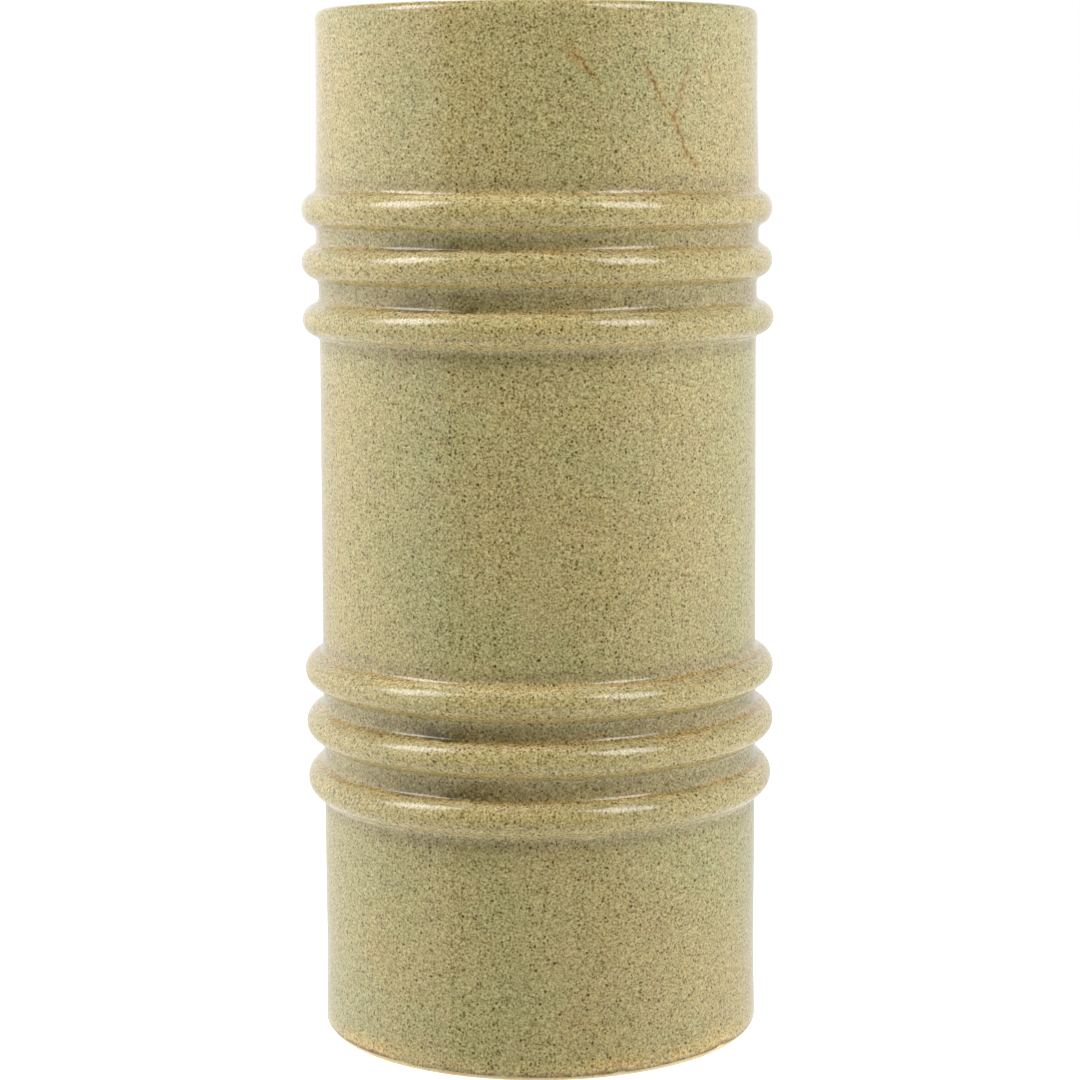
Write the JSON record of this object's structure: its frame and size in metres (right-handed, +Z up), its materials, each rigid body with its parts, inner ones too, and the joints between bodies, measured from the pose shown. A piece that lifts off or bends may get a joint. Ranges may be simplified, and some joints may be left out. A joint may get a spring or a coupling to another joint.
{
  "type": "stoneware vase",
  "caption": "Tall cylindrical stoneware vase with two bands of applied half-round rings, speckled glaze and a bare foot.",
  "frame": {"origin": "on the vase's axis, in the plane that the foot ring stands on", "axes": "+Z up along the axis to the mouth; +X to the right seen from the front, +Y to the back; the shape is the same all round"},
  "size_m": [0.129, 0.129, 0.28],
  "materials": {
    "stoneware_body": "matte",
    "stoneware_coil": "matte",
    "stoneware_foot": "matte",
    "speckled_glaze": "satin",
    "lining_glaze": "satin"
  },
  "bodies": {
    "root": {"wall": "stoneware_body", "floor_disc": "stoneware_body", "foot_ring": "stoneware_foot", "upper_ring_top": "stoneware_coil", "upper_ring_middle": "stoneware_coil", "upper_ring_bottom": "stoneware_coil", "lower_ring_top": "stoneware_coil", "lower_ring_middle": "stoneware_coil", "lower_ring_bottom": "stoneware_coil", "outer_glaze": "speckled_glaze", "inner_glaze": "lining_glaze"}
  },
  "joints": []
}
